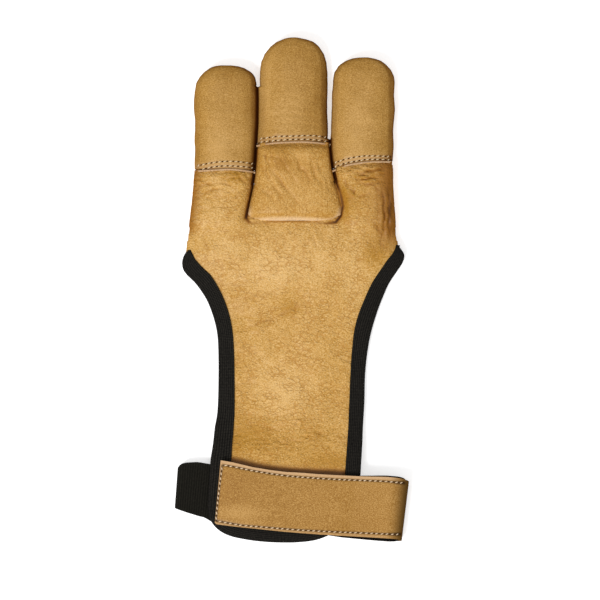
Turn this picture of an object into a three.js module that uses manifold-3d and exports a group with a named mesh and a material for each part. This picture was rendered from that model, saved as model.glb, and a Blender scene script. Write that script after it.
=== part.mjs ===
// A three-finger archery glove for the right hand, lying flat with the back of the hand up.
// Millimetres: +X across the hand, +Y towards the fingertips, +Z up from the table.
// The glove is laid out from the seam at the middle finger's base, then moved over its own origin,
// which is the middle of the bottom of its box.

import * as THREE from "three";
import { mergeVertices } from "three/addons/utils/BufferGeometryUtils.js";
import Module from "manifold-3d";

const wasm = await Module();
wasm.setup();

// Sizes of the hand
const handWidth = 101; // across the leather at the corners of the palm opening
const fingerLength = 86; // middle finger, from its base seam to its tip
const handLength = 148.3; // from that seam to the panel's wrist end
const handThickness = 10.2; // closed part of the hand, outside
const fingerThickness = 13.4; // over a stall, outside

// Leather walls and the gap left between pieces that touch
const leather = 1.2;
const stallLeather = 1.9;
const seamGap = 0.3;
const stallLap = 9; // finger leather that runs up inside its stall
const stallStep = 2.6; // below a stall, where the finger leather fills out to its full size

// Binding tape, folded over the raw edge
const tape = 0.7;
const tapeCover = 5.8; // from the leather's edge inwards, on both faces

// Wrist strap, its black lining and the elastic
const loopWidth = 107; // from fold to fold
const strapWidth = 28.2;
const strapLeather = 1.4;
const strapLining = 0.9;
const liningShow = 0.45; // the lining reaches this far past both edges of the strap
const strapTilt = THREE.MathUtils.degToRad(-5.4);
const elasticThickness = 1.3;
const elasticWidth = 27; // where it is sewn
const elasticFoldWidth = 20.8; // where it folds over
const elasticLap = 14; // sewn to the strap's far end, on the underside
const elasticTuck = 14; // under the panel's edge
const wristAlong = 0.88; // where the loop crosses the hand's length
const endInset = 3.5; // from the panel's edge to the strap's free end
const strapBack = 8; // the strap's far end lies this far right of the middle, underneath
const rampRun = 6.8; // the elastic comes down off the strap over this length

// One row a finger. across, base, width and baseWidth are shares of the hand's width;
// tip and edge (the stall's lower edge) are shares of the finger length; tipRound is a share of the
// finger's own width; lean moves the tip across, as a share of the hand's width; slant is how much
// the stall's edge climbs for each millimetre across.
const fingerTable = [
  { name: "index", across: -0.304, base: -0.331, width: 0.288, baseWidth: 0.29, tip: 0.849,
    edge: 0.281, tipRound: 0.42, lean: 0, slant: -0.01 },
  { name: "middle", across: 0.0095, base: 0.015, width: 0.313, baseWidth: 0.38, tip: 1,
    edge: 0.427, tipRound: 0.53, lean: 0, slant: 0.01 },
  { name: "ring", across: 0.3225, base: 0.348, width: 0.292, baseWidth: 0.272, tip: 0.892,
    edge: 0.307, tipRound: 0.48, lean: 0.012, slant: 0.11 },
];

// The finger leather from its base seam to just below its stall. reach is a share of that way, top
// of the finger's thickness.
const tubeTable = [
  { reach: 0, top: 0.822 },
  { reach: 0.4, top: 0.87 },
  { reach: 0.75, top: 0.912 },
  { reach: 1, top: 0.93 },
];
const tubeFullness = 0.975; // its width below the stall, as a share of the stall's
const fingerRound = 2.4; // squareness of a finger's section
const tipSquareness = 2.3; // and of a fingertip seen from above
const tipThickness = 0.25; // the very tip keeps this share of the finger's thickness
const tipShares = [0.3, 0.55, 0.75, 0.88, 0.96, 0.993]; // sections of a rounded fingertip

// Where a finger's leather fades into the hand. along is a share of the hand's length, width of the
// finger's own width at its base, top and bottom of the hand's thickness.
const fadeTable = [
  { along: 0.075, width: 0.72, top: 0.62, bottom: 0.3 },
  { along: 0.045, width: 0.84, top: 0.86, bottom: 0.22 },
  { along: 0.018, width: 0.94, top: 0.99, bottom: 0.14 },
];

// Sections of the hand from between the fingers to past the wrist. along is a share of the hand's
// length; left and right of its width; top and side (the height of the widest line) of its
// thickness; round is 2 for an ellipse and more for a squarer section.
const handTable = [
  { along: -0.06, left: -0.42, right: 0.435, top: 0.6, side: 0.45, round: 2.4 },
  { along: -0.02, left: -0.468, right: 0.479, top: 0.9, side: 0.46, round: 2.5 },
  { along: 0.03, left: -0.4795, right: 0.4865, top: 1, side: 0.46, round: 2.6 },
  { along: 0.075, left: -0.4875, right: 0.4915, top: 1, side: 0.43, round: 2.7 },
  { along: 0.12, left: -0.497, right: 0.512, top: 0.97, side: 0.38, round: 2.7 },
  { along: 0.16, left: -0.494, right: 0.505, top: 0.91, side: 0.12, round: 2.5 },
  { along: 0.22, left: -0.456, right: 0.475, top: 0.82, side: -0.13, round: 2.4 },
  { along: 0.32, left: -0.405, right: 0.43, top: 0.67, side: -0.08, round: 2.4 },
  { along: 0.48, left: -0.385, right: 0.395, top: 0.58, side: 0, round: 2.4 },
  { along: 0.62, left: -0.395, right: 0.39, top: 0.62, side: 0.06, round: 2.4 },
  { along: 0.71, left: -0.435, right: 0.388, top: 0.88, side: 0.25, round: 2.7 },
  { along: 0.765, left: -0.455, right: 0.385, top: 0.98, side: 0.3, round: 3 },
  { along: 0.96, left: -0.455, right: 0.385, top: 0.98, side: 0.3, round: 3 },
  { along: 1.08, left: -0.455, right: 0.385, top: 0.83, side: 0.22, round: 3 },
];

// Soft dents and swellings of the back panel. along and length are shares of the hand's length,
// across and width of its width, height of its thickness.
const foldTable = [
  { along: 0.265, across: -0.01, length: 0.045, width: 0.07, height: -0.085 },
  { along: 0.2, across: -0.3, length: 0.06, width: 0.04, height: -0.07 },
  { along: 0.34, across: 0.14, length: 0.05, width: 0.1, height: 0.06 },
  { along: 0.53, across: -0.05, length: 0.07, width: 0.12, height: 0.075 },
  { along: 0.655, across: -0.1, length: 0.032, width: 0.13, height: -0.1 },
];

// The leather edge of the back panel, corner to wrist. along is a share of the hand's length, left
// and right are shares of its width.
const edgeTable = [
  { along: 0.121, left: -0.499, right: 0.5115 },
  { along: 0.145, left: -0.488, right: 0.488 },
  { along: 0.17, left: -0.458, right: 0.459 },
  { along: 0.195, left: -0.424, right: 0.436 },
  { along: 0.22, left: -0.397, right: 0.42 },
  { along: 0.245, left: -0.378, right: 0.402 },
  { along: 0.295, left: -0.351, right: 0.379 },
  { along: 0.345, left: -0.333, right: 0.356 },
  { along: 0.42, left: -0.326, right: 0.333 },
  { along: 0.545, left: -0.329, right: 0.329 },
  { along: 0.65, left: -0.343, right: 0.319 },
  { along: 0.75, left: -0.366, right: 0.312 },
  { along: 0.885, left: -0.379, right: 0.282 },
];
const lobeRound = 2.6; // squareness of the panel's rounded wrist end
const cornerTilt = 0.018; // the right corner of the opening sits this much of the hand's width higher
const openingRise = 8; // the palm opening's rim arches up by this in its middle
const archRound = 2.4;
const rimReach = 8; // a rim's cut runs on this far past the hand's sides

// The piece set in over the middle finger. along is a share of the finger length, left and right are
// shares of the hand's width, top is a share of the finger's thickness.
const insetTable = [
  { along: 0, left: -0.196, right: 0.205, top: 0.6 },
  { along: 0.018, left: -0.209, right: 0.225, top: 0.76 },
  { along: 0.045, left: -0.206, right: 0.236, top: 0.85 },
  { along: 0.1, left: -0.197, right: 0.236, top: 0.87 },
  { along: 0.2, left: -0.176, right: 0.206, top: 0.89 },
  { along: 0.28, left: -0.155, right: 0.171, top: 0.92 },
  { along: 0.395, left: -0.15, right: 0.169, top: 0.91 },
];
const insetRound = 3; // squareness of its section
const hemHeight = 0.74; // at its base seam it reaches down to this share of the hand's thickness
const hemLength = 5; // and the seam falls to its full depth this far up
const hemStart = 2;

// Table helpers
function columnAt(table, column, at) {
  const last = table.length - 1;
  let k = 0;
  while (k < last - 1 && table[k + 1].along < at) k += 1;
  const slope = (row) => {
    const before = table[Math.max(row - 1, 0)];
    const after = table[Math.min(row + 1, last)];
    return (after[column] - before[column]) / (after.along - before.along);
  };
  const step = table[k + 1].along - table[k].along;
  const t = THREE.MathUtils.clamp((at - table[k].along) / step, 0, 1);
  const start = table[k][column];
  const end = table[k + 1][column];
  return start * (1 + 2 * t) * (1 - t) ** 2 + end * t * t * (3 - 2 * t)
    + slope(k) * step * t * (1 - t) ** 2 - slope(k + 1) * step * t * t * (1 - t);
}

function steps(from, to, count) {
  return Array.from({ length: count + 1 }, (_, i) => from + ((to - from) * i) / count);
}

// Solid helpers
function solidOf(geometry) {
  geometry.deleteAttribute("normal");
  geometry.deleteAttribute("uv");
  const merged = mergeVertices(geometry, 1e-4);
  const { array } = merged.attributes.position;
  return new wasm.Manifold(new wasm.Mesh({
    numProp: 3,
    vertProperties: new Float32Array(array),
    triVerts: new Uint32Array(merged.index.array),
  }));
}

function geometryOf(solid) {
  const mesh = solid.getMesh();
  const geometry = new THREE.BufferGeometry();
  geometry.setAttribute("position", new THREE.BufferAttribute(mesh.vertProperties, 3));
  geometry.setIndex(new THREE.BufferAttribute(mesh.triVerts, 1));
  geometry.computeVertexNormals();
  return geometry;
}

function joined(solids) {
  return solids.reduce((sum, solid) => sum.add(solid));
}

// A closed body through rings of points, all with as many points, listed from -Y to +Y or from
// left to right along a strap. Each end closes on the middle of its ring.
function loft(rings) {
  const count = rings[0].length;
  const points = rings.flat();
  const faces = [];
  for (let r = 0; r < rings.length - 1; r += 1) {
    for (let i = 0; i < count; i += 1) {
      const a = r * count + i;
      const b = r * count + ((i + 1) % count);
      faces.push(a, b, b + count, a, b + count, a + count);
    }
  }
  [0, rings.length - 1].forEach((r) => {
    const middle = new THREE.Vector3();
    rings[r].forEach((p) => middle.addScaledVector(p, 1 / count));
    const centre = points.push(middle) - 1;
    for (let i = 0; i < count; i += 1) {
      const a = r * count + i;
      const b = r * count + ((i + 1) % count);
      faces.push(...(r === 0 ? [centre, b, a] : [centre, a, b]));
    }
  });
  const geometry = new THREE.BufferGeometry().setFromPoints(points);
  geometry.setIndex(faces);
  return solidOf(geometry);
}

// An upright block over an outline of [x, y] points
function prism(outline, low, high) {
  const shape = new THREE.Shape(outline.map(([x, y]) => new THREE.Vector2(x, y)));
  const geometry = new THREE.ExtrudeGeometry(shape, { depth: high - low, bevelEnabled: false });
  geometry.translate(0, 0, low);
  return solidOf(geometry);
}

// A block with the same side outline of [y, z] points all across the hand
function prismAcross(outline, left, right) {
  const shape = new THREE.Shape(outline.map(([y, z]) => new THREE.Vector2(y, z)));
  const geometry = new THREE.ExtrudeGeometry(shape, { depth: right - left, bevelEnabled: false });
  geometry.applyMatrix4(new THREE.Matrix4().makeBasis(
    new THREE.Vector3(0, 1, 0),
    new THREE.Vector3(0, 0, 1),
    new THREE.Vector3(1, 0, 0),
  ));
  geometry.translate(left, 0, 0);
  return solidOf(geometry);
}

// The ring of one flattened section: over the top from left to right, and back underneath.
// Nothing of it reaches below its floor.
function sectionRing(section, upper, lower) {
  const { y, left, right, top, side, bottom, round, floor = -Infinity, slant = 0 } = section;
  const middle = (left + right) / 2;
  const half = (right - left) / 2;
  const at = (turn, height, power) => {
    const share = Math.sin((turn * Math.PI) / 2);
    const rise = (1 - Math.min(Math.abs(share), 1) ** power) ** (1 / power);
    const x = middle + half * share;
    const lift = section.lift && height > 0 ? section.lift(x) : 0;
    return new THREE.Vector3(x, y + slant * (x - middle), Math.max(side + height * rise + lift, floor));
  };
  const over = steps(-1, 1, upper).map((turn) => at(turn, top - side, round));
  const under = steps(1, -1, lower).slice(1, -1).map((turn) => at(turn, bottom - side, round));
  return [...over, ...under];
}

// The hand
const tapeStack = seamGap + tape;
const span = handWidth; // far enough to clear both sides of the hand
const far = fingerLength * 1.5; // beyond the fingertips
const depth = handThickness * 4; // far enough below the table for any cut
const cutDepth = depth * 2;
const { index, middle, ring } = Object.fromEntries(fingerTable.map((row) => [row.name, {
  centre: row.across * handWidth,
  base: row.base * handWidth,
  half: (row.width * handWidth) / 2,
  baseHalf: (row.baseWidth * handWidth) / 2,
  tip: row.tip * fingerLength,
  edge: row.edge * fingerLength,
  tipRound: row.tipRound * row.width * handWidth,
  lean: row.lean * handWidth,
  slant: row.slant,
}]));

// The height that the folds add to the panel's top at one place
function foldLift(x, along) {
  return foldTable.reduce((sum, fold) => {
    const across = (x / handWidth - fold.across) / fold.width;
    const length = (along - fold.along) / fold.length;
    return sum + fold.height * handThickness * Math.exp(-(across ** 2) - length ** 2);
  }, 0);
}

function handSection(along, out, open) {
  const side = columnAt(handTable, "side", along) * handThickness;
  return {
    y: -along * handLength,
    left: columnAt(handTable, "left", along) * handWidth - out,
    right: columnAt(handTable, "right", along) * handWidth + out,
    top: columnAt(handTable, "top", along) * handThickness + out,
    side,
    bottom: open ? side - depth : 0,
    round: columnAt(handTable, "round", along),
    floor: open ? -Infinity : tapeStack - out,
    lift: (x) => foldLift(x, along),
  };
}

// The panel's top at one place across and along
function handTop(x, along) {
  const { left, right, top, side, round } = handSection(along, 0, true);
  const share = Math.min(Math.abs((2 * x - left - right) / (right - left)), 1);
  return side + (top - side) * (1 - share ** round) ** (1 / round) + foldLift(x, along);
}

// The hand's body, out from the leather's outer face; an open one cuts away what is under it
function handBody(out, open) {
  const start = handTable[0].along - out / handLength;
  const end = handTable[handTable.length - 1].along;
  const rings = steps(end, start, 22).map((along) => sectionRing(handSection(along, out, open), 14, 5));
  return loft(rings);
}

function fingerSections(finger, out) {
  const { centre, base, half, baseHalf, edge, slant } = finger;
  const inside = stallLeather + seamGap;
  const section = (y, middle, halfWidth, top, bottom, tilt) => ({
    y, left: middle - halfWidth - out, right: middle + halfWidth + out, top: top + out,
    side: (top + bottom) / 2, bottom: bottom - out, round: fingerRound, floor: tapeStack - out,
    slant: tilt,
  });
  const lapEnd = edge + stallLap + (out < 0 ? leather : 0);
  const inStall = (y) => section(y, centre, half - inside, fingerThickness - inside, inside, slant);
  const below = ({ reach, top }) => section(
    (edge - stallStep) * reach,
    THREE.MathUtils.lerp(base, centre, reach),
    THREE.MathUtils.lerp(baseHalf, half * tubeFullness, reach),
    top * fingerThickness,
    tapeStack,
    slant * reach,
  );
  const fading = ({ along, width, top, bottom }) => section(
    -along * handLength, base, baseHalf * width, top * handThickness, bottom * handThickness, 0,
  );
  return [...fadeTable.map(fading), ...tubeTable.map(below), inStall(edge + seamGap), inStall(lapEnd)];
}

function fingerBody(finger, out) {
  return loft(fingerSections(finger, out).map((section) => sectionRing(section, 10, 8)));
}

// The stall over one fingertip: full size along the finger, then a rounded tip
function stallBody(finger, out) {
  const { centre, half, tip, edge, tipRound, lean, slant } = finger;
  const length = tipRound + out;
  const end = tip + out;
  const middle = fingerThickness / 2;
  const section = (y) => {
    const over = Math.max(y - (end - length), 0) / length;
    const across = (half + out) * (1 - over ** tipSquareness) ** (1 / tipSquareness);
    const rise = (middle + out) * THREE.MathUtils.lerp(tipThickness, 1, Math.sqrt(1 - over ** 2));
    const axis = centre + (lean * (y - edge)) / (tip - edge);
    return {
      y, left: axis - across, right: axis + across, top: middle + rise, side: middle,
      bottom: middle - rise - seamGap, round: fingerRound, floor: -out, slant: slant * (1 - over),
    };
  };
  const start = edge - (out < 0 ? leather : 0);
  const straight = steps(start, end - length, 3);
  const curved = tipShares.map((share) => end - length + length * share);
  return loft([...straight, ...curved].map((y) => sectionRing(section(y), 10, 8)));
}

function stall(finger) {
  return stallBody(finger, 0).subtract(stallBody(finger, -stallLeather));
}

// The height of the side seam between the two leathers, falling from the fingers to the hand
const cornerAlong = edgeTable[0].along;
const seamLow = handSection(cornerAlong, 0, true).side;
const seamHigh = fingerThickness / 2;
function seamHeight(y) {
  const share = THREE.MathUtils.inverseLerp(-cornerAlong * handLength, index.edge, y);
  return THREE.MathUtils.lerp(seamLow, seamHigh, THREE.MathUtils.clamp(share, 0, 1));
}

function belowSeam(shift) {
  const bends = [far, index.edge, -cornerAlong * handLength, -handLength];
  return prismAcross([
    [-handLength, -cutDepth],
    [far, -cutDepth],
    ...bends.map((y) => [y, seamHeight(y) + shift]),
  ], -span, span);
}

// Outlines seen from above, as [x, y] points
const cornerY = (x) => (-cornerAlong * handLength) + cornerTilt * x;
const lobeStart = edgeTable[edgeTable.length - 1].along;

function panelRim() {
  const places = steps(cornerAlong, lobeStart, 17);
  const side = (column) => places.map((along) => {
    const x = columnAt(edgeTable, column, along) * handWidth;
    const level = (lobeStart - along) / (lobeStart - cornerAlong);
    return [x, -along * handLength + cornerTilt * x * level ** 4];
  });
  const left = side("left");
  const right = side("right").reverse();
  const from = left[left.length - 1];
  const to = right[0];
  const middle = (from[0] + to[0]) / 2;
  const half = (to[0] - from[0]) / 2;
  const drop = handLength * (1 - lobeStart);
  const lobe = steps(0, 1, 14).slice(1, -1).map((share) => {
    const angle = Math.PI * (1 + share);
    const bend = (value) => Math.sign(value) * Math.abs(value) ** (2 / lobeRound);
    return [middle + half * bend(Math.cos(angle)), from[1] + drop * bend(Math.sin(angle))];
  });
  const past = [rimReach, rimReach / 2].map((reach) => reach + handWidth / 2);
  const outside = past.map((x) => [x, cornerY(x)]);
  const mirrored = past.map((x) => [-x, cornerY(-x)]);
  return [...mirrored, ...left, ...lobe, ...right, ...outside.reverse()];
}

function openingRim() {
  const half = handWidth / 2;
  return steps(-half - rimReach, half + rimReach, 18).map((x) => {
    const arch = Math.max(1 - Math.abs(x / half) ** archRound, 0);
    return [x, cornerY(x) + openingRise * arch];
  });
}

// A rim moved sideways: out is positive away from the leather, which lies to the left of its run
function movedRim(rim, out) {
  return rim.map(([x, y], i) => {
    const [ax, ay] = rim[Math.max(i - 1, 0)];
    const [bx, by] = rim[Math.min(i + 1, rim.length - 1)];
    const length = Math.hypot(bx - ax, by - ay);
    return [x + (out * (by - ay)) / length, y - (out * (bx - ax)) / length];
  });
}

const leatherSide = (rim) => [...rim, [rim[rim.length - 1][0], far], [rim[0][0], far]];
const rimBand = (rim, outside, inside) => [
  ...movedRim(rim, outside),
  ...movedRim(rim, -inside).reverse(),
];

const panelEdge = panelRim();
const openingEdge = openingRim();
const overPanel = (rim) => prism(leatherSide(rim), -cutDepth, depth);

function gloveBody(tubes, out, open) {
  return joined([handBody(out, open), ...tubes.map((finger) => fingerBody(finger, out))]);
}

// The inset's body, with the part that runs up inside the middle stall
function insetBody(out) {
  const inside = stallLeather + seamGap;
  const open = out < 0 ? leather : 0;
  const section = (y, left, right, top) => ({
    y, left: left - out, right: right + out, top: top + out, side: seamHeight(y), bottom: -depth,
    round: insetRound,
  });
  const shown = steps(0, insetTable[insetTable.length - 1].along, 9).map((along, i) => section(
    along * fingerLength - (i === 0 ? out : 0),
    columnAt(insetTable, "left", along) * handWidth,
    columnAt(insetTable, "right", along) * handWidth,
    columnAt(insetTable, "top", along) * fingerThickness,
  ));
  const hidden = [middle.edge - seamGap * 2, middle.edge + stallLap + open].map((y) => ({
    ...section(y, middle.centre - middle.half + inside, middle.centre + middle.half - inside,
      fingerThickness - inside),
    round: fingerRound,
  }));
  return loft([...shown, ...hidden].map((each) => sectionRing(each, 14, 4)));
}

// What lies under the inset: the seam's height, raised to a short hem at its base
function belowInset(shift) {
  const hem = hemHeight * handThickness + shift;
  const bends = [far, index.edge, hemLength];
  return prismAcross([
    [-handLength, -cutDepth],
    [far, -cutDepth],
    ...bends.map((y) => [y, seamHeight(y) + shift]),
    [hemStart, hem],
    [-handLength, hem],
  ], -span, span);
}

const closedRim = movedRim([[-span, cornerY(-span)], [span, cornerY(span)]], tapeStack + seamGap);
const closedPart = prism(leatherSide(closedRim), -cutDepth, depth);
const wall = -leather;

const backPanel = gloveBody([index, ring], 0, false)
  .subtract(gloveBody([index, ring], wall, true))
  .intersect(overPanel(panelEdge))
  .subtract(belowSeam(seamGap / 2).intersect(closedPart))
  .subtract(insetBody(seamGap).subtract(belowInset(-seamGap)));

const fingerFronts = gloveBody([index, middle, ring], 0, false)
  .subtract(gloveBody([index, middle, ring], wall, false))
  .intersect(overPanel(openingEdge))
  .intersect(belowSeam(-seamGap / 2));

const middleInset = insetBody(0)
  .subtract(insetBody(wall))
  .subtract(belowInset(seamGap / 2));

// The binding: tape folded over the leather's edge, kept clear of both its faces
function foldedTape(rim, open) {
  const outer = handBody(tapeStack, false).subtract(handBody(wall - tapeStack, open));
  const slot = handBody(seamGap, false).subtract(handBody(wall - seamGap, open));
  return outer
    .intersect(prism(rimBand(rim, tapeStack, tapeCover), -cutDepth, depth))
    .subtract(slot.intersect(overPanel(movedRim(rim, seamGap))));
}

const edgeBinding = foldedTape(panelEdge, true)
  .subtract(belowSeam(0).intersect(closedPart));
const openingBinding = foldedTape(openingEdge, false)
  .intersect(belowSeam(-seamGap));

// The wrist loop, in its own frame: u along the strap, z up
const strapStack = tapeStack + seamGap + strapLining + seamGap + strapLeather;
const strapTop = (u) => handTop(u, wristAlong) + strapStack;
const panelRight = columnAt(edgeTable, "right", wristAlong) * handWidth;
const panelLeft = columnAt(edgeTable, "left", wristAlong) * handWidth;
const foldHeight = strapTop(panelRight);
const foldRadius = foldHeight / 2;
const strapEnd = panelLeft + endInset;

// Points on a strap's outer face with the way out of it, from the free end round to the back end
function strapPath() {
  const top = steps(strapEnd, panelRight, 9).map((u) => {
    const slope = (strapTop(u + 1) - strapTop(u - 1)) / 2;
    return { u, z: strapTop(u), nu: -slope / Math.hypot(1, slope), nz: 1 / Math.hypot(1, slope) };
  });
  const centre = loopWidth / 2 - foldRadius;
  const fold = steps(Math.PI / 2, -Math.PI / 2, 12).map((angle) => ({
    u: centre + foldRadius * Math.cos(angle),
    z: foldRadius + foldRadius * Math.sin(angle),
    nu: Math.cos(angle),
    nz: Math.sin(angle),
  }));
  return [...top, ...fold, { u: strapBack, z: 0, nu: 0, nz: -1 }];
}

// A flat band whose outer face lies depth under the path
function ribbon(path, under, thickness, widthAt) {
  return loft(path.map((p) => {
    const half = widthAt(p) / 2;
    const point = (v, inwards) => new THREE.Vector3(p.u - p.nu * inwards, v, p.z - p.nz * inwards);
    return [point(half, under), point(-half, under), point(-half, under + thickness),
      point(half, under + thickness)];
  }));
}

const strapLine = strapPath();
const liningLine = strapLine.slice(0, -1);
const liningEnd = strapBack + elasticLap + seamGap * 2;
liningLine.push({ ...strapLine[strapLine.length - 1], u: liningEnd });

// The elastic's outer face, from its end on the strap, along the table, round and under the panel
const elasticTop = (u) => handTop(u, wristAlong) - leather - tapeStack - seamGap;
const elasticRadius = elasticTop(panelLeft) / 2;
function elasticPath() {
  const onStrap = strapLeather + seamGap;
  const foldU = elasticRadius - loopWidth / 2;
  const lying = [
    { u: strapBack + elasticLap, z: onStrap, nu: 0, nz: -1 },
    { u: strapBack - seamGap * 2, z: onStrap, nu: 0, nz: -1 },
    { u: strapBack - rampRun, z: 0, nu: 0, nz: -1 },
    { u: (strapBack - rampRun + foldU) / 2, z: 0, nu: 0, nz: -1 },
  ];
  const fold = steps(-Math.PI / 2, -Math.PI * 1.5, 10).map((angle) => ({
    u: foldU + elasticRadius * Math.cos(angle),
    z: elasticRadius + elasticRadius * Math.sin(angle),
    nu: Math.cos(angle),
    nz: Math.sin(angle),
  }));
  const top = steps(panelLeft, panelLeft + elasticTuck, 4).map((u) => (
    { u, z: elasticTop(u), nu: 0, nz: 1 }
  ));
  return [...lying, ...fold, ...top];
}

const elasticLine = elasticPath();
const elasticWidthAt = ({ u }) => {
  const reach = THREE.MathUtils.clamp((u + loopWidth / 2) / (loopWidth / 2 + panelLeft), 0, 1);
  return THREE.MathUtils.lerp(elasticFoldWidth, elasticWidth, Math.sin((reach * Math.PI) / 2));
};

// Leather and tape finishes
const finish = (color, roughness) => new THREE.MeshStandardMaterial({ color, roughness, metalness: 0 });
const deerskin = finish(0xd2a662, 0.62);
const stallSkin = finish(0xba8e4c, 0.55);
const insetSkin = finish(0xc99953, 0.6);
const strapSkin = finish(0xb38646, 0.58);
const blackTape = finish(0x201e1b, 0.85);
const blackElastic = finish(0x1d1c18, 0.9);
const blackLining = finish(0x181715, 0.92);

function piece(name, solid, material) {
  const mesh = new THREE.Mesh(geometryOf(solid), material);
  mesh.name = name;
  return mesh;
}

const wristLoop = new THREE.Group();
wristLoop.position.set(0, -wristAlong * handLength, 0);
wristLoop.rotation.z = strapTilt;
wristLoop.add(
  piece("wrist_strap", ribbon(strapLine, 0, strapLeather, () => strapWidth), strapSkin),
  piece("strap_lining", ribbon(liningLine, strapLeather + seamGap, strapLining,
    () => strapWidth + 2 * liningShow), blackLining),
  piece("wrist_elastic", ribbon(elasticLine, 0, elasticThickness, elasticWidthAt), blackElastic),
);

const glove = new THREE.Group();
glove.add(
  piece("back_panel", backPanel, deerskin),
  piece("finger_fronts", fingerFronts, deerskin),
  piece("middle_finger_inset", middleInset, insetSkin),
  piece("index_stall", stall(index), stallSkin),
  piece("middle_stall", stall(middle), stallSkin),
  piece("ring_stall", stall(ring), stallSkin),
  piece("edge_binding", edgeBinding, blackTape),
  piece("opening_binding", openingBinding, blackTape),
  wristLoop,
);

const box = new THREE.Box3().setFromObject(glove);
glove.position.set(-(box.min.x + box.max.x) / 2, -(box.min.y + box.max.y) / 2, -box.min.z);

export default glove;
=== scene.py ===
# Looks of the three-finger archery glove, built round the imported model.
# Tables and sizes are in millimetres in the model's own frame; Blender's own units are metres.
import math

import bpy
import numpy as np
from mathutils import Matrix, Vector
from mathutils.bvhtree import BVHTree


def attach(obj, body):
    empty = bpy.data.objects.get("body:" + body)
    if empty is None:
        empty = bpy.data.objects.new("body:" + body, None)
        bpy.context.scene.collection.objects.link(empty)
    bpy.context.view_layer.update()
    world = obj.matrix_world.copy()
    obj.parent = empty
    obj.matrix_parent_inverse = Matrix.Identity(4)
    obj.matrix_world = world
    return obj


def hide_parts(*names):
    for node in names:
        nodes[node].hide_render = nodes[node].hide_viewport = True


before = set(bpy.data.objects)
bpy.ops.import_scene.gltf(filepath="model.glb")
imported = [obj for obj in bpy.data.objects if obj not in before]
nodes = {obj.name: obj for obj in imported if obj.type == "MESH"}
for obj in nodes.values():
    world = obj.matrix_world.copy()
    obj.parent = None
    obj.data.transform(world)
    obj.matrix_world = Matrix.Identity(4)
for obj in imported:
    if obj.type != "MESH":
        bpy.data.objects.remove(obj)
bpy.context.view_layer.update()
mm = 0.001
print("frame loaded")

# camera, straight above as in the photograph; "across" is the width seen "plane" mm over the table
view = {"centre": (3.9, -4.3), "across": 279, "height": 1500, "plane": 10, "film": 36}
camera = bpy.data.objects.new("camera", bpy.data.cameras.new("camera"))
camera.data.sensor_width = view["film"]
camera.data.lens = view["film"] * (view["height"] - view["plane"]) / view["across"]
camera.data.clip_start = 0.05
camera.location = (view["centre"][0] * mm, view["centre"][1] * mm, view["height"] * mm)
bpy.context.scene.collection.objects.link(camera)
bpy.context.scene.camera = camera


# small helpers
def chooseOnly(piece):
    bpy.ops.object.select_all(action="DESELECT")
    piece.select_set(True)
    bpy.context.view_layer.objects.active = piece


def applyModifier(piece, kind, **settings):
    chooseOnly(piece)
    modifier = piece.modifiers.new(kind.lower(), kind)
    for name, value in settings.items():
        setattr(modifier, name, value)
    bpy.ops.object.modifier_apply(modifier=modifier.name)


def ofEachPoint(piece, kind):
    found = np.empty(len(piece.data.vertices) * 3)
    piece.data.vertices.foreach_get(kind, found)
    return found.reshape(-1, 3)


def spots(piece):  # the mesh's points, in mm
    return ofEachPoint(piece, "co") / mm


def normalsOf(piece):
    return ofEachPoint(piece, "normal")


def putSpots(piece, where):
    piece.data.vertices.foreach_set("co", (where * mm).ravel())
    piece.data.update()


def shadeSmooth(piece, angle):
    chooseOnly(piece)
    bpy.ops.object.shade_smooth_by_angle(angle=math.radians(angle))


def finishPiece(piece, material, slot, *replaced, angle=40):
    shadeSmooth(piece, angle)
    piece.data.materials.clear()
    piece.data.materials.append(material)
    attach(piece, "root")
    if replaced:
        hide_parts(*replaced)


def treeOf(piece):
    return BVHTree.FromObject(piece, bpy.context.evaluated_depsgraph_get())


def seenFromAbove(tree, x, y):  # the point met, in metres, and its normal, or None twice
    return tree.ray_cast(Vector((x * mm, y * mm, 0.05)), Vector((0, 0, -1)))[:2]


# a soft copy of a CAD node: joined up, remeshed evenly and smoothed
def softCopy(nodeName, name, plan):
    node = nodes[nodeName]
    piece = node.copy()
    piece.data = node.data.copy()
    piece.name = piece.data.name = name
    piece.parent = None
    for key in [key for key in piece.keys() if key.startswith("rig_")]:
        del piece[key]
    bpy.context.scene.collection.objects.link(piece)
    chooseOnly(piece)
    bpy.ops.object.mode_set(mode="EDIT")
    bpy.ops.mesh.select_all(action="SELECT")
    bpy.ops.mesh.remove_doubles(threshold=0.00001)
    bpy.ops.object.mode_set(mode="OBJECT")
    applyModifier(piece, "REMESH", mode="VOXEL", voxel_size=plan["voxel"] * mm,
                  use_smooth_shade=True)
    applyModifier(piece, "SMOOTH", factor=0.5, iterations=plan["passes"])
    return piece


# fields over the glove, seen from above
def smoothRow(rows, count):  # points on a smooth line through the rows
    rows = np.array(rows, float)
    last = len(rows) - 1
    length = np.concatenate([[0], np.cumsum(np.linalg.norm(np.diff(rows[:, :2], axis=0), axis=1))])
    slope = np.array([
        (rows[min(i + 1, last)] - rows[max(i - 1, 0)])
        / (length[min(i + 1, last)] - length[max(i - 1, 0)])
        for i in range(last + 1)
    ])
    result = []
    for at in np.linspace(0, length[-1], count):
        i = int(np.clip(np.searchsorted(length, at) - 1, 0, last - 1))
        step = length[i + 1] - length[i]
        t = (at - length[i]) / step
        result.append(
            rows[i] * (1 + 2 * t) * (1 - t) ** 2 + rows[i + 1] * t * t * (3 - 2 * t)
            + slope[i] * step * t * (1 - t) ** 2 - slope[i + 1] * step * t * t * (1 - t)
        )
    return np.array(result)


def bell(away, width):
    return np.exp(-(away / width) ** 2)


def ramp(value, width):  # 0 at 0, 1 from the width on
    return np.clip(value / width, 0, 1)


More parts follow.
